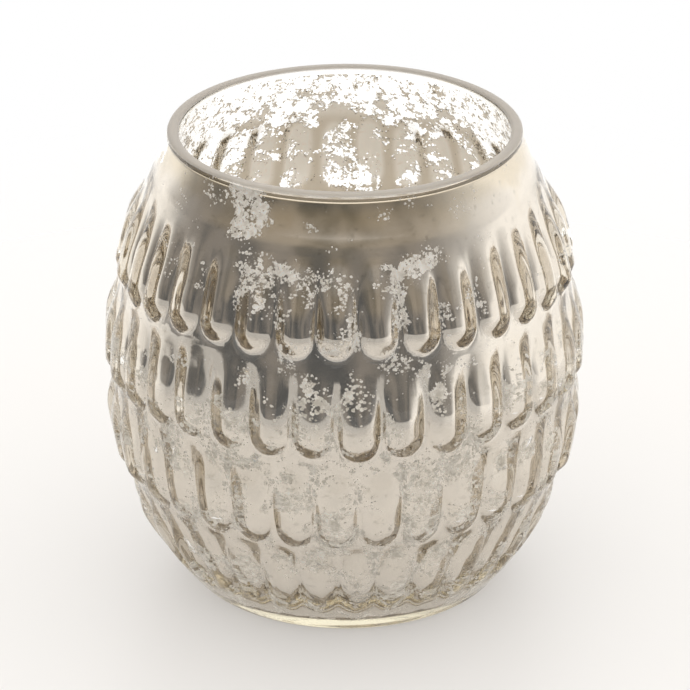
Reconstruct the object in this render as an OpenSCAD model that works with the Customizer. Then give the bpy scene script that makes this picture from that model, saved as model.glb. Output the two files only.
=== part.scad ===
// Tealight holder: a barrel-shaped cup of thick moulded glass, silvered on the inside, with a
// tealight standing on its floor. Four staggered tiers of rounded lobes run round the outside.
// Millimetres, +Z up, origin at the centre of the underside.

/* [Glass vessel] */
// Height from the underside to the lip
vessel_h = 89; // [86:1:96]
// Diameter over the lobes at the widest point
vessel_d = 90; // [88:1:98]
// Height of the widest point
widest_z = 46; // [42:1:50]
// Diameter of the foot where the outer wall starts
foot_d = 58; // [54:1:62]
// Outside diameter of the lip
rim_d = 65; // [61:1:69]
// Diameter over the upper ends of the top lobes, where the plain collar starts
shoulder_d = 76; // [74:1:78]
// Glass thickness at the lip and behind the grooves
wall = 2.4; // [2:0.1:2.8]
// Glass thickness under the candle
floor_t = 4; // [3:0.5:6]
// Height of the hollow under the foot
punt_h = 1.2; // [0.8:0.1:1.6]

/* [Lobes] */
// Number of tiers of lobes
tiers = 4; // [3:1:5]
// Lobes in each tier
lobes = 33; // [30:1:36]
// Height of the lowest lobe's lower end
lobes_low_z = 5; // [4:0.5:7]
// Height of the top lobe's upper end
lobes_top_z = 79.5; // [77:0.5:80]
// How far a lobe stands out of the groove beside it
lobe_relief = 1.8; // [1:0.1:2]
// Flat width of the groove between two lobes
groove_w = 0.8; // [0.5:0.1:1.2]
// Width over which a lobe domes up from its edge
lobe_edge = 3.2; // [2.4:0.1:3.4]

/* [Silvering] */
// Thickness of the silver and lacquer film
film_t = 0.15; // [0.1:0.05:0.2]
// How far the film stops below the lip
film_gap = 1.5; // [1:0.5:3]

/* [Tealight] */
// Diameter of the aluminium cup over its rolled edge
cup_d = 38; // [36:0.5:39]
// Height of the aluminium cup
cup_h = 16; // [12:1:18]
// Thickness of the cup's sheet
cup_t = 0.3; // [0.2:0.1:0.4]
// Diameter of the rolled edge of the cup
cup_bead = 0.9; // [0.8:0.1:1]
// How far the wax lies below the cup's edge
wax_gap = 2; // [1.5:0.5:3]
// Diameter of the wick
wick_d = 1.6; // [1.2:0.1:2]
// Length of wick standing out of the wax
wick_out = 8; // [6:1:10]
// Diameter of the sustainer's disc
sustainer_d = 13; // [12:1:15]

/* [Hidden] */
eps = 0.01;

// Barrel: radius over the lobe tops at height z. Below and above the widest point it falls away
// as a power of the distance. The collar starts flush with the grooves between the top lobes, and
// a hollow curve carries it to the lip.
vessel_r = vessel_d / 2;
foot_r = foot_d / 2;
rim_r = rim_d / 2;
shoulder_r = shoulder_d / 2;
foot_power = 2.6;
shoulder_power = 1.8;
collar_power = 1.4;
function lower_r(z) = vessel_r - (vessel_r - foot_r) * pow((widest_z - z) / widest_z, foot_power);
function upper_r(z) =
    vessel_r - (vessel_r - shoulder_r)
        * pow((z - widest_z) / (lobes_top_z - widest_z), shoulder_power);
function barrel_r(z) = z < widest_z ? lower_r(z) : upper_r(z);
function collar_r(z) =
    let(down = (vessel_h - z) / (vessel_h - lobes_top_z))
    rim_r + (shoulder_r - lobe_relief - rim_r) * pow(down, collar_power);

// Relief: how far a lobe stands out at angle a and height z. A lobe is a domed rectangle with
// rounded ends on the unrolled barrel, and every second tier is turned by half a lobe.
tier_h = (lobes_top_z - lobes_low_z) / tiers;
lobe_pitch = 360 / lobes;
function rounded_box(x, y, half_x, half_y, r) =
    let(qx = abs(x) - half_x + r, qy = abs(y) - half_y + r)
    norm([max(qx, 0), max(qy, 0)]) + min(max(qx, qy), 0) - r;
function wrap(a) = a - lobe_pitch * round(a / lobe_pitch);
function dome(s) = 1 - pow(1 - min(max(s, 0), 1), 2);
end_round = 0.9;
function relief(a, z) =
    let(
        tier = min(max(floor((z - lobes_low_z) / tier_h), 0), tiers - 1),
        along = z - lobes_low_z - (tier + 0.5) * tier_h,
        turned = a - (tier % 2) * lobe_pitch / 2,
        mm_per_deg = barrel_r(z) * PI / 180,
        half_w = (lobe_pitch * mm_per_deg - groove_w) / 2,
        half_l = (tier_h - groove_w) / 2,
        inside = -rounded_box(wrap(turned) * mm_per_deg, along, half_w, half_l, half_w * end_round)
    )
    z < lobes_low_z || z > lobes_top_z ? 0 : lobe_relief * dome(inside / lobe_edge);
// The plain foot lies flush with the lobe tops, and fades into the lobed wall.
fade_h = 3;
function plain_share(z) = max(0, min(1, (lobes_low_z + fade_h - z) / fade_h));
function outer_r(a, z) =
    z > lobes_top_z ? collar_r(z)
    : barrel_r(z) - (1 - plain_share(z)) * (lobe_relief - relief(a, z));

// Rows and columns of the outer skin. Each lobe has a column on its groove and on its crest.
columns_per_lobe = 6;
half_lobe = columns_per_lobe / 2;
columns = lobes * columns_per_lobe;
foot_round = 1.6;
foot_undercut = 0.7;
lip_round = 1;
tier_steps = [0, 0.1, 0.3, 0.7, 0.9];
rows = concat(
    [foot_round * 0.35, foot_round, lobes_low_z * 0.6],
    [for (t = [0:tiers - 1], s = tier_steps) lobes_low_z + (t + s) * tier_h],
    [lobes_top_z, (lobes_top_z + vessel_h) / 2, vessel_h - lip_round, vessel_h - lip_round * 0.3]
);
lip_top_r = rim_r - lip_round;
foot_face_r = foot_r - foot_round;
// How far the skin is drawn in where the foot and the lip are rounded off
function quarter_round(z, r) = r - sqrt(pow(r, 2) - pow(r - z, 2));
function rounded_in(z) =
    z < foot_round ? quarter_round(z, foot_round) * foot_undercut
    : z > vessel_h - lip_round ? quarter_round(vessel_h - z, lip_round)
    : 0;
function ring(z, flat_r = 0) = [
    for (i = [0:columns - 1])
        let(a = i * 360 / columns, r = flat_r > 0 ? flat_r : outer_r(a, z) - rounded_in(z))
        [r * cos(a), r * sin(a), z]
];
// The four-sided cells are split along the contours of the domed lobes
function splits_back(z, i) =
    let(
        tier = floor((z - lobes_low_z) / tier_h),
        along = z - lobes_low_z - (tier + 0.5) * tier_h,
        column = (i + (tier % 2 == 0 ? 0 : half_lobe)) % columns_per_lobe
    )
    (along > 0) == (column < half_lobe);
module outer_skin() {
    rings = concat([ring(0, foot_face_r)], [for (z = rows) ring(z)], [ring(vessel_h, lip_top_r)]);
    n = len(rings);
    points = [for (one = rings, p = one) p];
    sides = [
        for (k = [0:n - 2], i = [0:columns - 1])
            let(
                j = (i + 1) % columns,
                low = k * columns,
                high = low + columns,
                middle_z = (rings[k][0][2] + rings[k + 1][0][2]) / 2
            )
            each splits_back(middle_z, i)
                ? [[low + i, high + i, low + j], [low + j, high + i, high + j]]
                : [[low + i, high + j, low + j], [low + i, high + i, high + j]]
    ];
    foot = [for (i = [0:columns - 1]) i];
    lip = [for (i = [columns - 1:-1:0]) (n - 1) * columns + i];
    polyhedron(points, concat(sides, [foot, lip]), convexity = 4);
}

// Cavity: a flat floor, an arc up to the wall, and a wall that follows the barrel inside.
corner_r = 10;
corner_angle = 62;
corner_steps = 6;
corner_z = floor_t + corner_r * (1 - cos(corner_angle));
wall_steps = 16;
lip_chamfer = 0.6;
function cavity_r(z) = (z > lobes_top_z ? collar_r(z) : barrel_r(z) - lobe_relief) - wall;
floor_r = cavity_r(corner_z) - corner_r * sin(corner_angle);
lip_z = vessel_h - lip_chamfer;
function cavity_profile(inset, top_z) =
    let(
        corner = [
            for (k = [0:corner_steps])
                let(a = k * corner_angle / corner_steps, r = corner_r - inset)
                [floor_r + r * sin(a), floor_t + corner_r - r * cos(a)]
        ],
        side = [
            for (k = [1:wall_steps])
                let(z = corner_z + k * (top_z - corner_z) / wall_steps)
                [cavity_r(z) - inset, z]
        ]
    )
    concat([[0, floor_t + inset]], corner, side);

module cavity() {
    mouth_r = cavity_r(lip_z) + lip_chamfer;
    above = vessel_h + 1;
    rotate_extrude($fn = 180)
        polygon(concat(cavity_profile(0, lip_z), [[mouth_r, vessel_h], [mouth_r, above], [0, above]]));
}

// The shallow hollow that leaves the foot standing on a ring
module punt() {
    punt_r = foot_face_r * 0.78;
    dome_r = (pow(punt_r, 2) + pow(punt_h, 2)) / (2 * punt_h);
    translate([0, 0, punt_h - dome_r]) sphere(r = dome_r, $fn = 180);
}

// One piece of moulded clear glass
module glass_vessel() {
    color([0.86, 0.85, 0.79, 0.5])
    difference() {
        outer_skin();
        cavity();
        punt();
    }
}

// The silver film with its lacquer, which covers the cavity to just below the lip. The clearance
// keeps the two solids from overlapping.
film_clearance = 0.08;
module silver_lining() {
    film_top_z = vessel_h - film_gap;
    outside = cavity_profile(film_clearance, film_top_z);
    inside = cavity_profile(film_clearance + film_t, film_top_z);
    color([0.78, 0.76, 0.71])
    rotate_extrude($fn = 180)
        polygon(concat(outside, [for (k = [len(inside) - 1:-1:0]) inside[k]]));
}

// Tealight, standing on the silvered floor
seat_z = floor_t + film_clearance + film_t;
cup_r = (cup_d - cup_bead + cup_t) / 2;
wax_z = seat_z + cup_t;
wax_h = cup_h - cup_t - wax_gap;
wax_top_z = wax_z + wax_h;
sustainer_t = 0.3;
ferrule_d = wick_d + 0.8;
ferrule_h = 3.5;

// Pressed aluminium cup with a rolled edge and a stiffening ring in its base
module tealight_cup() {
    rib_r = cup_r * 0.62;
    rib_d = 2;
    color([0.85, 0.85, 0.86])
    translate([0, 0, seat_z])
    difference() {
        union() {
            cylinder(r = cup_r, h = cup_h - cup_bead / 2, $fn = 120);
            translate([0, 0, cup_h - cup_bead / 2])
                rotate_extrude($fn = 120)
                    translate([cup_r - cup_t / 2, 0]) circle(d = cup_bead, $fn = 24);
        }
        translate([0, 0, cup_t]) cylinder(r = cup_r - cup_t, h = cup_h, $fn = 120);
        // the ring is pressed up from below, and doesn't break through
        rotate_extrude($fn = 120)
            translate([rib_r, -rib_d / 2 + cup_t / 2]) circle(d = rib_d, $fn = 32);
    }
}

// Poured wax with a soft edge, moulded round the sustainer and the wick
module wax() {
    wax_r = cup_r - cup_t;
    edge_r = 0.8;
    edge = [
        for (a = [0:15:90]) [wax_r - edge_r * (1 - cos(a)), wax_h - edge_r * (1 - sin(a))]
    ];
    color([0.95, 0.94, 0.9])
    translate([0, 0, wax_z])
    difference() {
        rotate_extrude($fn = 120) polygon(concat([[0, 0], [wax_r, 0]], edge, [[0, wax_h]]));
        translate([0, 0, -eps]) cylinder(d = sustainer_d, h = sustainer_t + eps, $fn = 60);
        cylinder(d = ferrule_d, h = sustainer_t + ferrule_h, $fn = 40);
        cylinder(d = wick_d, h = wax_h + 1, $fn = 30);
    }
}

// Tinplate disc with a ferrule that grips the foot of the wick
module wick_sustainer() {
    color([0.7, 0.7, 0.72])
    translate([0, 0, wax_z])
    difference() {
        union() {
            cylinder(d = sustainer_d, h = sustainer_t, $fn = 60);
            cylinder(d = ferrule_d, h = sustainer_t + ferrule_h, $fn = 40);
        }
        translate([0, 0, sustainer_t]) cylinder(d = wick_d, h = ferrule_h + 1, $fn = 30);
    }
}

// Waxed cotton wick, standing in the ferrule
module wick() {
    foot_z = wax_z + sustainer_t;
    color([0.9, 0.88, 0.82])
    translate([0, 0, foot_z])
        cylinder(d = wick_d, h = wax_top_z + wick_out - foot_z, $fn = 30);
}

glass_vessel();
silver_lining();
tealight_cup();
wax();
wick_sustainer();
wick();
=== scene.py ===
"""Looks of the silvered glass tealight holder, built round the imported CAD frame.

Shapes are worked out in millimetres and turned into metres where a mesh is made. An angle of 0
on the vessel is +X, and the camera looks along +Y.
"""

import math

import bpy
import numpy as np
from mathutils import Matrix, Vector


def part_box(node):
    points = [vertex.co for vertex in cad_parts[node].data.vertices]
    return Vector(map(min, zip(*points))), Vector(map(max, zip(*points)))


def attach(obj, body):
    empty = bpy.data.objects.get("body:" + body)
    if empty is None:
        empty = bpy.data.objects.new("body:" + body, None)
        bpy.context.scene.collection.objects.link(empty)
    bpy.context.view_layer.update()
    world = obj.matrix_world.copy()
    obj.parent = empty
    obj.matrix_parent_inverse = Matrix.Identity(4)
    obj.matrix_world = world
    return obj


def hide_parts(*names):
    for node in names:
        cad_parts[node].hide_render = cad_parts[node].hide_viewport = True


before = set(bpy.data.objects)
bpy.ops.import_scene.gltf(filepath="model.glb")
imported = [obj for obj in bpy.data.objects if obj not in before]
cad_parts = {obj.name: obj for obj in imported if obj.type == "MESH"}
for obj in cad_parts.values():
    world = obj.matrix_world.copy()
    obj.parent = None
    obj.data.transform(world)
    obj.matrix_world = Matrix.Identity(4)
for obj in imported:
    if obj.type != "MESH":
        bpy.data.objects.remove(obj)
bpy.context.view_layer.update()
MM = 0.001


def box_mm(node):
    low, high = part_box(node)
    return np.array(low) / MM, np.array(high) / MM


# ---------------------------------------------------------------- vessel dimensions, from the frame

VESSEL_H = box_mm("glass_vessel")[1][2]
WIDEST_R = max(box_mm("glass_vessel")[1][:2])
FLOOR_Z = box_mm("silver_lining")[0][2]
FILM_TOP_Z = box_mm("silver_lining")[1][2]

# The CAD's proportions
WIDEST_Z = 0.517 * VESSEL_H
RIM_R = 0.722 * WIDEST_R
SHOULDER_R = 0.844 * WIDEST_R
FOOT_R = 0.644 * WIDEST_R
LOBES_LOW_Z = 0.056 * VESSEL_H
LOBES_TOP_Z = 0.893 * VESSEL_H
WALL = 2.4

# How fast the outline falls away from the widest point, and the collar from the lobes
FOOT_POWER = 2.6
SHOULDER_POWER = 1.8
COLLAR_POWER = 1.4

TIERS = 4
LOBES = 33
LOBE_PITCH = 2 * math.pi / LOBES
TIER_H = (LOBES_TOP_Z - LOBES_LOW_Z) / TIERS
LOBE_RELIEF = 1.8
GROOVE_W = 1.0
# Width over which a lobe domes up from its edge, on the outer wall and on the inner
LOBE_EDGE = 2.8
INNER_EDGE = 3.2
# Length of a lobe's round ends
UPPER_END = 5.0
LOWER_END = 3.6
# Length over which a lobe rises from its upper end, on the outer wall and on the inner
UPPER_RISE = 9.0
INNER_UPPER_RISE = 13.0
# How much narrower a lobe is at its ends
END_TAPER = 0.04
# Height over which the lobes die away into the collar, and into the plain foot
TOP_FADE = 4.0
FOOT_FADE = 7.0
# Share of the relief that shows on the inner wall
INNER_SHARE = 0.8
# Softness of a lobe's foot on the outer wall, on the inner, and where the film is dull beside it
OUTER_SOFTNESS = 0.5
INNER_SOFTNESS = 0.8
GROOVE_SOFTNESS = 0.7
# Sets the uneven outer wall back, so that it stays close to the CAD box
OUTER_INSET = 0.12

FOOT_ROUND = 1.6
FOOT_UNDERCUT = 0.7
LIP_ROUND = 0.75
# Share of the lip's round, from its top down, over which the glass is ground
LIP_GROUND = 0.7
# The hollow under the foot
PUNT_H = 1.2
PUNT_SHARE = 0.78
# The round corner between the inner wall and the floor
CORNER_R = 10.0
CORNER_ANGLE = math.radians(62)

rng = np.random.default_rng(11)
LOBE_DEPTH = rng.uniform(0.82, 1.12, (TIERS, LOBES))
LOBE_TURN = rng.uniform(-0.03, 0.03, (TIERS, LOBES)) * LOBE_PITCH
LOBE_RISE = rng.uniform(-0.35, 0.35, (TIERS, LOBES))


def barrel_r(z):
    """Radius over the lobe tops at height z."""
    below = WIDEST_R - (WIDEST_R - FOOT_R) * (np.maximum(WIDEST_Z - z, 0) / WIDEST_Z) ** FOOT_POWER
    rise = np.maximum(z - WIDEST_Z, 0) / (LOBES_TOP_Z - WIDEST_Z)
    return np.where(z < WIDEST_Z, below, WIDEST_R - (WIDEST_R - SHOULDER_R) * rise**SHOULDER_POWER)


def groove_r(z):
    """Radius in the grooves, which the collar carries on up to the lip."""
    down = np.maximum(VESSEL_H - z, 0) / (VESSEL_H - LOBES_TOP_Z)
    collar = RIM_R + (SHOULDER_R - LOBE_RELIEF - RIM_R) * down**COLLAR_POWER
    return np.where(z < LOBES_TOP_Z, barrel_r(z) - LOBE_RELIEF, collar)


def smooth(s):
    """0 below 0, 1 above 1, and a smooth step between."""
    s = np.clip(s, 0, 1)
    return s * s * (3 - 2 * s)


def dome(s, softness):
    """Rises from 0 at a lobe's edge to 1 on its crest. Softness rounds the foot of the rise."""
    s = np.clip(s, 0, 1)
    return (1 - softness) * np.sqrt(1 - (1 - s) ** 2) + softness * smooth(s)


def lobe_height(angle, z, softness, edge, upper_rise):
    """0 in the grooves to about 1 on the crests, for arrays of angle and height.

    The lower end of a lobe is bold and round. Its upper end rises slowly, over upper_rise.
    """
    highest = np.zeros(angle.shape)
    for tier in range(TIERS):
        turned = angle - (tier % 2) * LOBE_PITCH / 2
        number = np.round(turned / LOBE_PITCH).astype(int)
        across = turned - LOBE_PITCH * number - LOBE_TURN[tier, number % LOBES]
        along = z - LOBES_LOW_Z - (tier + 0.5) * TIER_H - LOBE_RISE[tier, number % LOBES]
        radius = barrel_r(z)
        half_l = TIER_H / 2
        half_w = (LOBE_PITCH * radius - GROOVE_W) / 2 * (1 - END_TAPER * (along / half_l) ** 2)
        end = np.where(along > 0, UPPER_END, LOWER_END)
        into_end = np.maximum(np.abs(along) - half_l + end, 0) / end
        inside = half_w - np.hypot(across * radius, half_w * into_end)
        height = LOBE_DEPTH[tier, number % LOBES] * dome(inside / edge, softness)
        highest = np.maximum(highest, height * smooth((half_l - along) / upper_rise))
    return highest * smooth((LOBES_TOP_Z + 1 - z) / TOP_FADE)


def plain_share(z):
    """1 in the plain foot, falling to 0 where the lobes are at their full height."""
    return smooth((LOBES_LOW_Z + FOOT_FADE - z) / FOOT_FADE)


def unevenness(angle, z):
    """Slow waves left by the blowing, in mm."""
    return (
        0.10 * np.sin(2 * angle + 0.7)
        + 0.05 * np.sin(5 * angle - 0.05 * z)
        + 0.05 * np.sin(3 * angle + 0.11 * z + 1.3)
    )


def outer_r(angle, z):
    """Outer wall. The plain foot is flush with the lobes."""
    share = plain_share(z)
    rise = share + (1 - share) * lobe_height(angle, z, OUTER_SOFTNESS, LOBE_EDGE, UPPER_RISE)
    return groove_r(z) + LOBE_RELIEF * rise - OUTER_INSET + unevenness(angle, z)


def cavity_r(angle, z):
    """Inner wall: the lobes show through the glass on it, softened."""
    lobes = lobe_height(angle, z, INNER_SOFTNESS, INNER_EDGE, INNER_UPPER_RISE)
    rise = (1 - plain_share(z)) * lobes
    return groove_r(z) - WALL + INNER_SHARE * LOBE_RELIEF * rise + unevenness(angle, z)


# ---------------------------------------------------------------- meshes from rings of points

def skin(name, rings, material, cap_start=True):
    """A mesh through rings of the same number of points, closed by a fan at each end.

    With cap_start off, the first ring stays open.
    """
    rings = np.asarray(rings, float) * MM
    count, columns = rings.shape[:2]
    i = np.arange(columns)
    j = (i + 1) % columns
    lows = np.arange(count - 1)[:, None] * columns
    highs = lows + columns
    quads = np.stack([lows + i, lows + j, highs + j, highs + i], 2).reshape(-1, 4).tolist()
    middle = count * columns
    points = np.vstack([rings.reshape(-1, 3), rings[-1].mean(0), rings[0].mean(0)])
    last = middle - columns
    sides = list(zip(i.tolist(), j.tolist()))
    faces = quads + [[middle, last + a, last + b] for a, b in sides]
    if cap_start:
        faces += [[middle + 1, b, a] for a, b in sides]
    else:
        points = points[:-1]
    mesh = bpy.data.meshes.new(name)
    mesh.from_pydata(points.tolist(), [], faces)
    mesh.validate()
    mesh.shade_smooth()
    mesh.materials.append(material)
    piece = bpy.data.objects.new(name, mesh)
    bpy.context.scene.collection.objects.link(piece)
    return piece


def corners(piece):
    """A piece's points in mm."""
    at = np.empty(len(piece.data.vertices) * 3)
    piece.data.vertices.foreach_get("co", at)
    return at.reshape(-1, 3) / MM


def add_attribute(piece, name, values):
    layer = piece.data.attributes.new(name, "FLOAT", "POINT")
    layer.data.foreach_set("value", np.asarray(values, np.float32))


def ring(angles, r, z):
    """Points round the axis at a radius and a height, each one number or one for each angle."""
    r = np.broadcast_to(r, angles.shape)
    z = np.broadcast_to(z, angles.shape)
    return np.stack([r * np.cos(angles), r * np.sin(angles), z], 1)


def around(columns):
    """Angles of evenly spaced columns round the axis."""
    return np.arange(columns) * 2 * math.pi / columns


def lathe(name, profile, material, columns, ripple=None):
    """Turns a profile of (radius, height) points that starts and ends on the axis."""
    angles = around(columns)
    rings = []
    for r, z in profile:
        shift = 0 if ripple is None else ripple(angles, r, z)
        rings.append(ring(angles, r + shift, z))
    return skin(name, rings, material)


def arc(centre_r, centre_z, radius, start, end, steps):
    """Points on a circle in the profile's plane, between two angles in degrees."""
    turns = np.radians(np.linspace(start, end, steps + 1))
    return [(centre_r + radius * math.cos(t), centre_z + radius * math.sin(t)) for t in turns]


# ---------------------------------------------------------------- node materials

class Nodes:
    """Short forms for building one node tree."""

    def __init__(self, tree):
        self.tree = tree

    def node(self, kind, **settings):
        made = self.tree.nodes.new(kind)
        for key, value in settings.items():
            setattr(made, key, value)
        return made

    def feed(self, socket, value):
        if isinstance(value, bpy.types.NodeSocket):
            self.tree.links.new(value, socket)
        else:
            socket.default_value = value

    def place(self):
        return self.node("ShaderNodeTexCoord").outputs["Object"]

    def attribute(self, name):
        return self.node("ShaderNodeAttribute", attribute_name=name).outputs["Fac"]

    def noise(self, scale, detail=3.0, roughness=0.5, stretch=None):
        where = self.place()
        if stretch is not None:
            mapping = self.node("ShaderNodeMapping")
            self.feed(mapping.inputs["Vector"], where)
            mapping.inputs["Scale"].default_value = stretch
            where = mapping.outputs["Vector"]
        made = self.node("ShaderNodeTexNoise")
        self.feed(made.inputs["Vector"], where)
        made.inputs["Scale"].default_value = scale
        made.inputs["Detail"].default_value = detail
        made.inputs["Roughness"].default_value = roughness
        return made.outputs["Fac"]

    def cells(self, scale):
        made = self.node("ShaderNodeTexVoronoi", feature="F1")
        self.feed(made.inputs["Vector"], self.place())
        made.inputs["Scale"].default_value = scale
        return made

    def math(self, operation, a, b=0.0, clamp=False):
        made = self.node("ShaderNodeMath", operation=operation, use_clamp=clamp)
        self.feed(made.inputs[0], a)
        self.feed(made.inputs[1], b)
        return made.outputs[0]

    def ramp(self, value, low, high, to_low=0.0, to_high=1.0):
        """A smooth change from to_low to to_high while the value goes from low to high."""
        made = self.node("ShaderNodeMapRange", interpolation_type="SMOOTHSTEP")
        names = ("Value", "From Min", "From Max", "To Min", "To Max")
        for name, given in zip(names, (value, low, high, to_low, to_high)):
            self.feed(made.inputs[name], given)
        return made.outputs["Result"]

    def mix(self, share, a, b):
        made = self.node("ShaderNodeMix", data_type="RGBA")
        self.feed(made.inputs[0], share)
        for socket, colour in ((made.inputs[6], a), (made.inputs[7], b)):
            self.feed(socket, colour if isinstance(colour, bpy.types.NodeSocket) else (*colour, 1))
        return made.outputs[2]


class Shader(Nodes):
    """A material's node tree, with its principled shader."""

    def __init__(self, name):
        self.material = bpy.data.materials.new(name)
        self.material.use_nodes = True
        super().__init__(self.material.node_tree)
        self.principled = self.tree.nodes["Principled BSDF"]
        self.output = self.tree.nodes["Material Output"]

    def set(self, **values):
        for key, value in values.items():
            self.feed(self.principled.inputs[key.replace("_", " ")], value)

    def bump(self, height, strength, distance):
        made = self.node("ShaderNodeBump")
        self.feed(made.inputs["Height"], height)
        made.inputs["Strength"].default_value = strength
        made.inputs["Distance"].default_value = distance
        self.feed(self.principled.inputs["Normal"], made.outputs["Normal"])


def glass_material():
    """Clear soda glass with a faint olive tint that shows where the path through it is long."""
    s = Shader("clear_glass")
    ground = s.attribute("ground")
    s.set(Base_Color=s.mix(ground, (1, 1, 1), (0.44, 0.40, 0.35)), IOR=1.5)
    s.set(Transmission_Weight=s.ramp(ground, 0.0, 1.0, 1.0, 0.35))
    s.set(Roughness=s.ramp(ground, 0.0, 1.0, 0.0, 0.4))
    s.bump(s.noise(90, 2.0, 0.4), 0.25, 0.0004)
    absorb = s.node("ShaderNodeVolumeAbsorption")
    absorb.inputs["Color"].default_value = (0.78, 0.72, 0.46, 1)
    absorb.inputs["Density"].default_value = 16.0
    s.feed(s.output.inputs["Volume"], absorb.outputs["Volume"])
    return s.material


def spots(s, size_mm, crowding, low, high):
    """Round spots in cells of a given size. The more crowding there is, the larger they are."""
    cell = s.cells(1000 / size_mm)
    chance = s.node("ShaderNodeSeparateColor")
    s.feed(chance.inputs["Color"], cell.outputs["Color"])
    reach = s.math("MULTIPLY", s.ramp(crowding, low, high, 0.0, 0.75), chance.outputs["Red"])
    return s.ramp(s.math("SUBTRACT", reach, cell.outputs["Distance"]), -0.03, 0.03)


def holes(s):
    """Where the silver has flaked off, where the lacquer has too, and the rims of the places.

    Ragged patches with crumbs of silver left in them, and round spots about them. Slow blotches
    gather them into groups.
    """
    blotches = s.ramp(s.noise(170, 4.0, 0.6), 0.40, 0.62, -0.45, 0.22)
    flaking = s.math("ADD", s.attribute("flaking"), blotches)
    grit = s.math("MULTIPLY", s.noise(1500, 5.0, 0.7), 0.25)
    ragged = s.math("ADD", s.noise(380, 9.0, 0.74), grit)
    patch_edge = s.ramp(flaking, 0.0, 1.3, 0.94, 0.58)
    over = s.math("SUBTRACT", ragged, patch_edge)
    crumbs = spots(s, 0.55, s.noise(500, 3.0), 0.40, 0.70)
    crowding = s.math("ADD", flaking, s.ramp(s.noise(200, 4.0, 0.6), 0.3, 0.7, -0.6, 0.35))
    coarse = spots(s, 1.2, crowding, 0.35, 1.3)
    fine = spots(s, 0.6, crowding, 0.25, 1.0)
    patches = s.math("MULTIPLY", s.ramp(over, 0.0, 0.025), s.math("SUBTRACT", 1.0, crumbs))
    flaked = s.math("MAXIMUM", patches, s.math("MAXIMUM", coarse, fine))
    gap = s.ramp(s.math("ADD", s.attribute("through"), s.noise(340, 4.0, 0.6)), 0.95, 1.05)
    return flaked, s.math("MULTIPLY", flaked, gap), s.ramp(over, -0.06, 0.0)


def tarnished(s, silver, tan, brown, rims):
    """Silver that turns tan towards the lip, with small brown stains and worn rims."""
    drift = s.math("ADD", s.attribute("tarnish"), s.ramp(s.noise(120, 4.0), 0.4, 0.75, -0.15, 0.35))
    stains = s.ramp(s.noise(700, 5.0, 0.6), 0.56, 0.74, 0.0, 0.6)
    base = s.mix(s.ramp(drift, 0.1, 0.9), silver, tan)
    return s.mix(s.math("MAXIMUM", stains, s.math("MULTIPLY", rims, 0.45)), base, brown)


# Painted glow: emission on the film and on the bare lacquer that stands for light from inside the
# vessel. Neither is a lamp.
PAINTED_GLOW_ON_FILM = 0.075
PAINTED_GLOW_ON_BARE_LACQUER = 0.2


def silver_material():
    """The film's mirror side. Where it has flaked, the rough lacquer shows, with painted shade that
    darkens it low down and a painted glow on it.
    """
    s = Shader("silver_film")
    flaked, bare, rims = holes(s)
    s.set(Metallic=s.math("SUBTRACT", 1.0, flaked, clamp=True))
    silver = tarnished(s, (0.70, 0.65, 0.585), (0.64, 0.57, 0.46), (0.48, 0.44, 0.38), rims)
    flecks = s.ramp(s.noise(900, 5.0, 0.7), 0.35, 0.65)
    pale = s.mix(flecks, (0.62, 0.57, 0.50), (0.98, 0.95, 0.91))
    # Painted shade: the bare lacquer turns darker towards the bottom of the vessel, where less
    # light reaches
    shaded_lacquer = s.mix(flecks, (0.37, 0.32, 0.23), (0.93, 0.87, 0.78))
    lacquer = s.mix(s.attribute("painted_shade_low_down"), pale, shaded_lacquer)
    # Painted glow where the silver has flaked: emission that stands for light from inside the
    # vessel shining through the lacquer
    s.set(Base_Color=s.mix(flaked, silver, lacquer), Emission_Color=(1.0, 0.95, 0.88, 1))
    s.set(Emission_Strength=s.math("MULTIPLY", flaked, PAINTED_GLOW_ON_BARE_LACQUER))
    polish = s.ramp(s.noise(260, 5.0, 0.6), 0.35, 0.75, 0.02, 0.12)
    s.set(Roughness=s.math("ADD", polish, s.math("MULTIPLY", flaked, 0.4)))
    s.set(Alpha=s.math("SUBTRACT", 1.0, bare, clamp=True))
    return s.material


def lacquer_material():
    """The film's inner face: a pale lacquer over the silver, satin instead of mirror-bright, with a
    faint painted glow all over.
    """
    s = Shader("film_lacquer")
    _, bare, rims = holes(s)
    base = tarnished(s, (0.95, 0.92, 0.87), (0.90, 0.85, 0.76), (0.80, 0.75, 0.66), rims)
    in_groove = s.math("MULTIPLY", s.attribute("groove"), 0.7)
    s.set(Base_Color=s.mix(in_groove, base, (0.58, 0.50, 0.38)))
    s.set(Roughness=s.ramp(s.noise(200, 4.0), 0.3, 0.7, 0.30, 0.50))
    # Painted glow over the whole lacquered face: emission that stands for light shining through the
    # thin film
    s.set(Emission_Color=(1.0, 0.94, 0.86, 1), Emission_Strength=PAINTED_GLOW_ON_FILM)
    s.set(Alpha=s.math("SUBTRACT", 1.0, bare, clamp=True))
    return s.material


def aluminium_material():
    s = Shader("cup_aluminium")
    s.set(Metallic=1.0)
    drawn = s.noise(900, 4.0, 0.6, stretch=(1, 1, 0.15))
    s.set(Base_Color=s.mix(drawn, (0.60, 0.60, 0.61), (0.74, 0.74, 0.74)))
    s.set(Roughness=s.ramp(drawn, 0.3, 0.7, 0.22, 0.38))
    s.bump(drawn, 0.15, 0.0001)
    return s.material


def wax_material():
    s = Shader("wax")
    cloud = s.noise(220, 4.0, 0.6)
    s.set(Base_Color=s.mix(cloud, (0.68, 0.66, 0.60), (0.78, 0.76, 0.70)))
    s.set(Roughness=s.ramp(cloud, 0.3, 0.7, 0.32, 0.5), Subsurface_Weight=0.35)
    s.set(Subsurface_Radius=(0.004, 0.003, 0.002), Subsurface_Scale=0.5)
    s.bump(s.noise(600, 3.0), 0.12, 0.0002)
    return s.material


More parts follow.
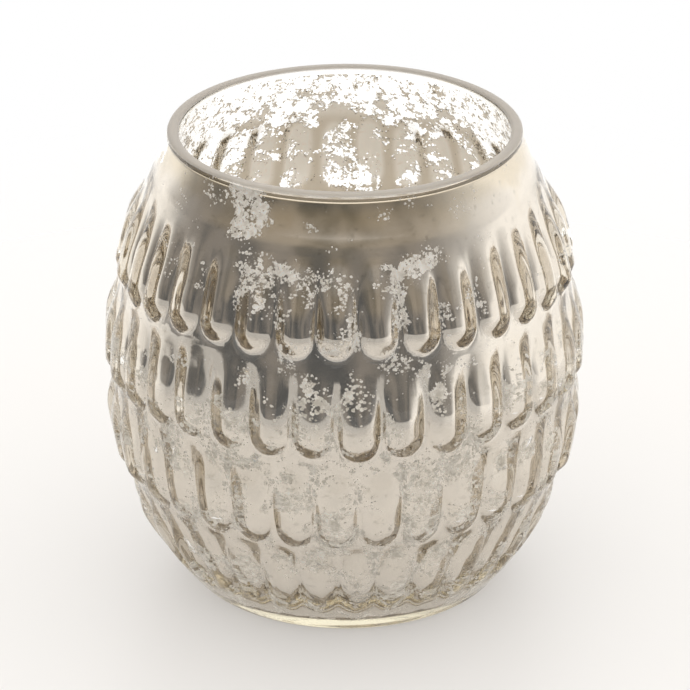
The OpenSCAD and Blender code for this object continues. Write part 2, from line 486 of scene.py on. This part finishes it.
def tinplate_material():
    s = Shader("tinplate")
    s.set(Metallic=1.0)
    grain = s.noise(1200, 3.0, 0.6, stretch=(1, 0.1, 1))
    s.set(Base_Color=s.mix(grain, (0.62, 0.62, 0.64), (0.78, 0.78, 0.80)))
    s.set(Roughness=s.ramp(grain, 0.3, 0.7, 0.25, 0.4))
    return s.material


def wick_material():
    s = Shader("wick_cotton")
    fibre = s.noise(4000, 3.0, 0.6, stretch=(1, 1, 0.3))
    s.set(Base_Color=s.mix(fibre, (0.80, 0.77, 0.68), (0.95, 0.93, 0.87)))
    s.set(Roughness=s.ramp(fibre, 0.3, 0.7, 0.55, 0.8))
    s.bump(fibre, 0.4, 0.0001)
    return s.material


# ---------------------------------------------------------------- glass vessel

COLUMNS = LOBES * 14
ANGLES = around(COLUMNS)
WALL_ROWS = 116
INNER_ROWS = 60
FILM_ROWS = 84
CORNER_STEPS = 8
LIP_STEP = 18
CORNER_Z = FLOOR_Z + CORNER_R * (1 - math.cos(CORNER_ANGLE))


def wall_rings(z_values, radius):
    """Rings of a wall, whose radius is a function of angle and height."""
    return [ring(ANGLES, radius(ANGLES, np.full(COLUMNS, z)), z) for z in z_values]


def cavity_rings(inset, top_z, rows):
    """Rings of the inner surface from top_z down to the middle of the floor, moved in by inset."""

    def wall(angles, z):
        return cavity_r(angles, z) - inset

    rings = wall_rings(np.linspace(top_z, CORNER_Z, rows), wall)
    floor_r = cavity_r(ANGLES, np.full(COLUMNS, CORNER_Z)) - CORNER_R * math.sin(CORNER_ANGLE)
    for turn in np.linspace(CORNER_ANGLE, 0, CORNER_STEPS + 1)[1:]:
        reach = (CORNER_R - inset) * math.sin(turn)
        z = FLOOR_Z + CORNER_R - (CORNER_R - inset) * math.cos(turn)
        rings.append(ring(ANGLES, floor_r + reach, z))
    for share in (0.75, 0.5, 0.25, 0.05):
        rings.append(ring(ANGLES, floor_r * share, FLOOR_Z + inset))
    return rings


def make_vessel():
    """One closed skin: the hollow under the foot, the foot, the wall, the lip and the cavity."""
    face_r = FOOT_R - FOOT_ROUND
    punt_r = face_r * PUNT_SHARE
    shares = (0.05, 0.3, 0.55, 0.75, 0.9, 1)
    rings = [ring(ANGLES, punt_r * share, PUNT_H * (1 - share**2)) for share in shares]
    rings.append(ring(ANGLES, (punt_r + face_r) / 2, 0))
    for turn in np.radians(np.arange(0, 90, 15)):
        z = FOOT_ROUND * (1 - math.cos(turn))
        drawn_in = FOOT_ROUND * (1 - math.sin(turn)) * FOOT_UNDERCUT
        rings.append(ring(ANGLES, barrel_r(np.float64(z)) - drawn_in, z))
    lip_z = VESSEL_H - LIP_ROUND
    rings += wall_rings(np.linspace(FOOT_ROUND, lip_z, WALL_ROWS), outer_r)
    lip_r = outer_r(ANGLES, np.full(COLUMNS, lip_z)) - LIP_ROUND
    inner_r = cavity_r(ANGLES, np.full(COLUMNS, lip_z)) + LIP_ROUND
    for turn in np.radians(np.arange(LIP_STEP, 91, LIP_STEP)):
        z = VESSEL_H - LIP_ROUND * (1 - math.sin(turn))
        rings.append(ring(ANGLES, lip_r + LIP_ROUND * math.cos(turn), z))
    for turn in np.radians(np.arange(90, 0, -LIP_STEP)):
        z = VESSEL_H - LIP_ROUND * (1 - math.sin(turn))
        rings.append(ring(ANGLES, inner_r - LIP_ROUND * math.cos(turn), z))
    rings += cavity_rings(0, lip_z, INNER_ROWS)
    vessel = skin("moulded_glass", rings, glass_material())
    z = corners(vessel)[:, 2]
    ground_h = LIP_ROUND * LIP_GROUND
    add_attribute(vessel, "ground", smooth((z - VESSEL_H + ground_h) / (ground_h / 2)))
    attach(vessel, "holder")
    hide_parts("glass_vessel")


# ---------------------------------------------------------------- silver film

# The film's mirror side lies a little way into the glass, and its lacquered side in the cavity
MIRROR_INSET = -0.03
LACQUER_INSET = 0.08

# Flaked places, listed one by one: angle from the front in degrees (positive to the right), height
# and half sizes along and up the wall in mm, and how bare the place is.
FLAKED = (
    (-37, 86, 5, 4, 0.9),
    (-33, 81, 3, 6, 1.0),
    (-29, 85, 2, 3, 0.9),
    (-22, 75, 6, 2.5, 1.0),
    (-24, 70, 3, 4, 0.6),
    (-17, 66, 2.5, 6, 0.9),
    (-8, 71, 3.5, 6, 0.8),
    (-6, 62, 4, 3, 0.9),
    (1, 70, 2.5, 5, 0.7),
    (4, 64, 3, 4, 0.9),
    (11, 76, 4, 2, 0.9),
    (14, 69, 2.5, 6, 0.9),
    (12, 60, 4, 4, 1.0),
    (22, 76, 3, 2, 0.9),
    (23, 69, 2, 6, 0.7),
    (26, 66, 2, 6, 0.8),
    (20, 57, 4, 3.5, 0.9),
    (-17, 60, 4, 2.5, 0.8),
    (-28, 58, 3, 3, 0.6),
    (-31, 69, 2.5, 5, 0.7),
    (-45, 72, 4, 4, 0.5),
    (1, 55, 3, 3, 0.8),
    (-10, 54, 3, 3, 0.6),
    (39, 70, 3, 5, 0.7),
    (-10, 82, 8, 1.5, 0.5),
    (150, 86, 22, 4.5, 1.0),
    (180, 87, 18, 5, 1.0),
    (210, 86, 22, 4.5, 1.0),
    (128, 78, 8, 9, 0.8),
    (156, 72, 4, 7, 0.6),
    (176, 64, 7, 4, 0.7),
    (196, 78, 5, 3, 0.8),
    (218, 72, 7, 8, 0.8),
    (238, 79, 7, 8, 0.8),
    (100, 64, 9, 9, 0.5),
    (115, 84, 14, 8, 0.45),
    (243, 84, 14, 9, 0.6),
    (262, 78, 10, 10, 0.5),
)
FLAKING_EVERYWHERE = 0.25
FLAKING_LOW_DOWN = 0.62
FLAKING_AT_LIP = 0.3
FLAKING_BEHIND = 0.5
# How readily a flaked place is a see-through gap
FRONT_GAPS = 0.35
BACK_GAPS = 0.9
FRONT = -math.pi / 2


def behind(angle, z):
    """0 round the front of the vessel and 1 round its back, with a long wavering change between."""
    waver = 0.16 * np.sin(7 * angle + z / 5) + 0.12 * np.sin(13 * angle - z / 4)
    return smooth(0.35 + 1.1 * np.sin(angle) + waver)


def flaking_at(angle, z):
    """How bare the film is at each point. The materials tell values from 0 to 1.3 apart."""
    total = FLAKING_EVERYWHERE + FLAKING_LOW_DOWN * smooth((60 - z) / 12)
    total += FLAKING_AT_LIP * smooth((z - LOBES_TOP_Z) / (FILM_TOP_Z - LOBES_TOP_Z))
    total += FLAKING_BEHIND * behind(angle, z) * smooth((z - 50) / 15)
    for degrees, height, half_w, half_h, bareness in FLAKED:
        away = (angle - FRONT - math.radians(degrees) + math.pi) % (2 * math.pi) - math.pi
        distance = np.hypot(away * barrel_r(z) / half_w, (z - height) / half_h)
        total += bareness * np.exp(-(distance**2))
    return total


def make_film():
    """A closed shell: the mirror side lies against the glass, the lacquered side faces inwards."""
    mirror_side = cavity_rings(MIRROR_INSET, FILM_TOP_Z, FILM_ROWS)
    lacquer_side = cavity_rings(LACQUER_INSET, FILM_TOP_Z, FILM_ROWS)
    rings = mirror_side[::-1] + lacquer_side
    film = skin("silver_film", rings, silver_material())
    film.data.materials.append(lacquer_material())
    half = len(mirror_side)
    inner = np.zeros(len(film.data.polygons), np.int32)
    quads = (len(rings) - 1) * COLUMNS
    inner[half * COLUMNS:quads + COLUMNS] = 1
    film.data.polygons.foreach_set("material_index", inner)
    x, y, z = corners(film).T
    angle = np.arctan2(y, x)
    in_groove = 1 - smooth(2.2 * lobe_height(angle, z, GROOVE_SOFTNESS, INNER_EDGE, UPPER_RISE))
    add_attribute(film, "flaking", flaking_at(angle, z))
    add_attribute(film, "through", FRONT_GAPS + (BACK_GAPS - FRONT_GAPS) * behind(angle, z))
    # Painted shade on the bare lacquer, rising to full below about 48 mm
    add_attribute(film, "painted_shade_low_down", smooth((58 - z) / 10))
    add_attribute(film, "tarnish", smooth((z - LOBES_TOP_Z) / (VESSEL_H - 2 - LOBES_TOP_Z)))
    add_attribute(film, "groove", in_groove * smooth((LOBES_TOP_Z - z) / TOP_FADE))
    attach(film, "holder")
    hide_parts("silver_lining")


# ---------------------------------------------------------------- tealight

CUP_LOW, CUP_HIGH = box_mm("tealight_cup")
CUP_R = CUP_HIGH[0]
CUP_H = CUP_HIGH[2] - CUP_LOW[2]
SHEET_T = 0.25
BEAD_R = 0.42
WAX_LOW, WAX_HIGH = box_mm("wax")
WICK_LOW, WICK_HIGH = box_mm("wick")


def make_cup():
    """Deep-drawn foil cup: fine upright wrinkles on the wall, a rib in the base, a rolled edge."""
    wall_r = CUP_R - 2 * BEAD_R + SHEET_T
    corner = 1.2
    z0 = CUP_LOW[2]
    rib_r = 0.62 * wall_r
    rib_h = 0.35
    rib_half_w = 0.9
    top = z0 + CUP_H - BEAD_R
    rib = []
    for d in np.linspace(-rib_half_w, rib_half_w, 9):
        rib.append((rib_r + d, rib_h * math.cos(d / rib_half_w * math.pi / 2) ** 2))
    under = [(0.3, z0)] + [(r, z0 + h) for r, h in rib]
    under += arc(wall_r - corner, z0 + corner, corner, -90, 0, 6)
    outside = [(wall_r, z) for z in np.linspace(z0 + corner, top - BEAD_R, 14)[1:]]
    bead = arc(CUP_R - BEAD_R, top, BEAD_R, -100, 180, 12)
    in_r = wall_r - SHEET_T
    inside = [(in_r, z) for z in np.linspace(top - BEAD_R, z0 + corner, 14)[:-1]]
    floor = arc(in_r - corner + SHEET_T, z0 + corner, corner - SHEET_T, 0, -90, 6)
    floor += [(r, z0 + h + SHEET_T) for r, h in rib[::-1]] + [(0.3, z0 + SHEET_T)]

    def wrinkle(angles, r, z):
        on_wall = smooth((z - z0 - corner) / 2) * smooth((top - 1 - z) / 1.5)
        on_wall *= abs(r - wall_r) < 0.6
        return 0.06 * on_wall * np.cos(72 * angles) * (1 + 0.5 * np.sin(5 * angles + z))

    profile = under + outside + bead + inside + floor
    cup = lathe("foil_cup", profile, aluminium_material(), 432, wrinkle)
    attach(cup, "tealight")
    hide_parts("tealight_cup")


def make_wax():
    """Poured wax: it climbs a little at the cup's wall and sinks a little round the wick."""
    wax_r = WAX_HIGH[0] - 0.05
    low = WAX_LOW[2] + 0.1
    level = WAX_HIGH[2] - 0.35
    bottom = [(0.5, low), (wax_r * 0.5, low)] + arc(wax_r - 1, low + 1, 1, -90, 0, 5)
    top = []
    for r in np.linspace(wax_r, 1.0, 30):
        climb = 0.35 * math.exp(-(wax_r - r) / 0.7)
        sink = 0.3 * math.exp(-((r / 4) ** 2))
        top.append((r, level + climb - sink))

    wax = lathe("poured_wax", bottom + top, wax_material(), 144)
    at = corners(wax)
    on_top = at[:, 2] > level - 0.6
    waves = 0.07 * np.sin(at[:, 0] / 3.1 + 0.4) * np.cos(at[:, 1] / 2.3)
    at[:, 2] += np.where(on_top, waves, 0)
    wax.data.vertices.foreach_set("co", (at * MM).ravel())
    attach(wax, "tealight")
    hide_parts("wax")


def make_sustainer():
    """Stamped disc that rises to a ferrule, which is crimped on the wick's foot."""
    low, high = box_mm("wick_sustainer")
    disc_r = high[0]
    ferrule_r = 1.2
    z0 = low[2] + 0.02
    profile = [(0.2, z0), (disc_r, z0), (disc_r, z0 + 0.25), (disc_r * 0.75, z0 + 0.25)]
    profile += [(disc_r * 0.55, z0 + 0.3), (ferrule_r + 0.6, z0 + 0.3)]
    profile += arc(ferrule_r + 0.4, z0 + 0.7, 0.4, -90, -180, 4)
    profile += [(ferrule_r, z) for z in np.linspace(z0 + 0.9, high[2] - 0.1, 9)]
    profile += [(ferrule_r - 0.3, high[2] - 0.05), (ferrule_r - 0.35, high[2] - 0.6)]
    profile += [(0.2, high[2] - 0.6)]

    def crimp(angles, r, z):
        squeeze = math.exp(-(((z - high[2] + 1.4) / 0.7) ** 2))
        return -0.22 * squeeze * (r > 0.5) * (0.5 + 0.5 * np.cos(4 * angles))

    sustainer = lathe("stamped_sustainer", profile, tinplate_material(), 96, crimp)
    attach(sustainer, "tealight")
    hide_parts("wick_sustainer")


def make_wick():
    """Braided wick: three strands twisted round each other, leaning a little at the tip."""
    angles = around(48)
    radius = WICK_HIGH[0]
    rings = []
    for z in np.linspace(WICK_LOW[2] + 0.1, WICK_HIGH[2], 110):
        up = (z - WICK_LOW[2]) / (WICK_HIGH[2] - WICK_LOW[2])
        twist = z * 2 * math.pi / 4.5
        strand = 0.80 + 0.20 * np.abs(np.cos(1.5 * (angles - twist)))
        tip = math.sqrt(max(0.02, 1 - max(0, (up - 0.965) / 0.035) ** 2))
        made = ring(angles, radius * strand * tip, z)
        made[:, 0] += 0.9 * smooth((up - 0.6) / 0.4) * up
        made[:, 1] += 0.3 * smooth((up - 0.7) / 0.3)
        rings.append(made)
    wick = skin("braided_wick", rings, wick_material())
    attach(wick, "tealight")
    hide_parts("wick")


# ---------------------------------------------------------------- floor, light and camera

# Distances from the vessel's middle, in metres: the floor's edge, and where it starts to fade
FLOOR_REACH = 0.24
FLOOR_FADE = 0.085
FLOOR_GLOW = 0.41


def make_floor():
    """Pale table top that fades into the white surroundings."""
    s = Shader("pale_floor")
    s.set(Base_Color=s.mix(s.noise(6, 2.0), (0.38, 0.375, 0.37), (0.40, 0.395, 0.39)))
    s.set(Roughness=0.45, Emission_Color=(1.0, 0.965, 0.925, 1), Emission_Strength=FLOOR_GLOW)
    away = s.node("ShaderNodeVectorMath", operation="LENGTH")
    s.feed(away.inputs[0], s.place())
    s.set(Alpha=s.ramp(away.outputs["Value"], FLOOR_FADE, FLOOR_REACH, 1.0, 0.0))
    angles = around(96)
    rings = [ring(angles, r / MM, 0) for r in np.linspace(0.02, FLOOR_REACH, 12)]
    floor = skin("floor", rings[::-1], s.material, cap_start=False)


# How far the middle of the dim room is turned from straight in front, towards the left
ROOM_TURN = math.radians(25)
# Brightness below the horizon in front and behind, elsewhere, and what is added overhead
BELOW_STRENGTH = 0.69
BEHIND_STRENGTH = 1.35
WHITE_STRENGTH = 1.4
OVERHEAD_EXTRA = 0.3


def make_world():
    """White studio all round, with a dim room in front of the table, above its edge.

    The silver reflects the room, cool and dark low down and tan higher up. The camera sees plain
    white behind the vessel.
    """
    world = bpy.data.worlds.new("studio")
    bpy.context.scene.world = world
    world.use_nodes = True
    tree = world.node_tree
    tree.nodes.clear()
    s = Nodes(tree)
    direction = s.node("ShaderNodeTexCoord").outputs["Generated"]
    split = s.node("ShaderNodeSeparateXYZ")
    s.feed(split.inputs[0], direction)
    up = split.outputs["Z"]
    level = s.node("ShaderNodeVectorMath", operation="MULTIPLY")
    s.feed(level.inputs[0], direction)
    level.inputs[1].default_value = (1, 1, 0)
    flat = s.node("ShaderNodeVectorMath", operation="NORMALIZE")
    s.feed(flat.inputs[0], level.outputs[0])
    facing = s.node("ShaderNodeVectorMath", operation="DOT_PRODUCT")
    s.feed(facing.inputs[0], flat.outputs[0])
    facing.inputs[1].default_value = (-math.sin(ROOM_TURN), -math.cos(ROOM_TURN), 0)
    ahead = facing.outputs["Value"]
    starts = s.ramp(up, -0.05, 0.15, -0.35, -1.1)
    in_front = s.ramp(ahead, starts, s.ramp(up, -0.05, 0.15, 0.45, 0.5))
    above = s.ramp(up, -0.165, -0.145)
    below = s.ramp(up, 0.46, 0.66, 1.0, 0.0)
    dim = s.math("MULTIPLY", in_front, s.math("MULTIPLY", above, below))
    patch = s.node("ShaderNodeTexNoise")
    s.feed(patch.inputs["Vector"], direction)
    patch.inputs["Scale"].default_value = 2.2
    patches = s.ramp(patch.outputs["Fac"], 0.35, 0.65)
    table_side = s.mix(patches, (0.13, 0.135, 0.14), (0.32, 0.30, 0.28))
    ceiling_side = s.mix(patches, (0.27, 0.24, 0.19), (0.47, 0.42, 0.35))
    room = s.mix(s.ramp(up, 0.15, 0.45), table_side, ceiling_side)
    below_horizon = s.ramp(ahead, -0.3, 0.6, BEHIND_STRENGTH, BELOW_STRENGTH)
    walls = s.ramp(up, -0.1, 0.1, below_horizon, WHITE_STRENGTH)
    side = s.math("ADD", walls, s.ramp(up, 0.5, 0.8, 0.0, OVERHEAD_EXTRA))
    white = s.node("ShaderNodeVectorMath", operation="SCALE")
    white.inputs[0].default_value = (1.0, 0.99, 0.975)
    s.feed(white.inputs["Scale"], side)
    seen = s.mix(dim, white.outputs[0], room)
    path = s.node("ShaderNodeLightPath")
    colour = s.mix(path.outputs["Is Camera Ray"], seen, (1.0, 1.0, 1.0))
    background = s.node("ShaderNodeBackground")
    s.feed(background.inputs["Color"], colour)
    output = s.node("ShaderNodeOutputWorld")
    s.feed(output.inputs["Surface"], background.outputs[0])


SENSOR_W = 36.0
CAMERA_DISTANCE = 700.0
CAMERA_RISE = math.radians(25.2)
CAMERA_TURN = math.radians(-0.7)
CAMERA_LENS = 195.0
AIM_Z = 44.9


def make_camera():
    """Looks down at the vessel's middle from in front."""
    data = bpy.data.cameras.new("camera")
    data.lens = CAMERA_LENS
    data.sensor_width = SENSOR_W
    camera = bpy.data.objects.new("camera", data)
    bpy.context.scene.collection.objects.link(camera)
    out = CAMERA_DISTANCE * math.cos(CAMERA_RISE)
    camera.location = (
        out * math.sin(CAMERA_TURN) * MM,
        -out * math.cos(CAMERA_TURN) * MM,
        (AIM_Z + CAMERA_DISTANCE * math.sin(CAMERA_RISE)) * MM,
    )
    camera.rotation_euler = (math.pi / 2 - CAMERA_RISE, 0, CAMERA_TURN)
    bpy.context.scene.camera = camera


def set_view():
    """Plain colours, and enough bounces for light to get through the glass and the film's gaps."""
    scene = bpy.context.scene
    scene.view_settings.view_transform = "Standard"
    scene.cycles.use_denoising = True
    scene.cycles.max_bounces = 24
    scene.cycles.glossy_bounces = 16
    scene.cycles.transmission_bounces = 20
    scene.cycles.transparent_max_bounces = 24
    scene.cycles.sample_clamp_indirect = 8.0


make_vessel()
make_film()
make_cup()
make_wax()
make_sustainer()
make_wick()
make_floor()
make_world()
make_camera()
set_view()
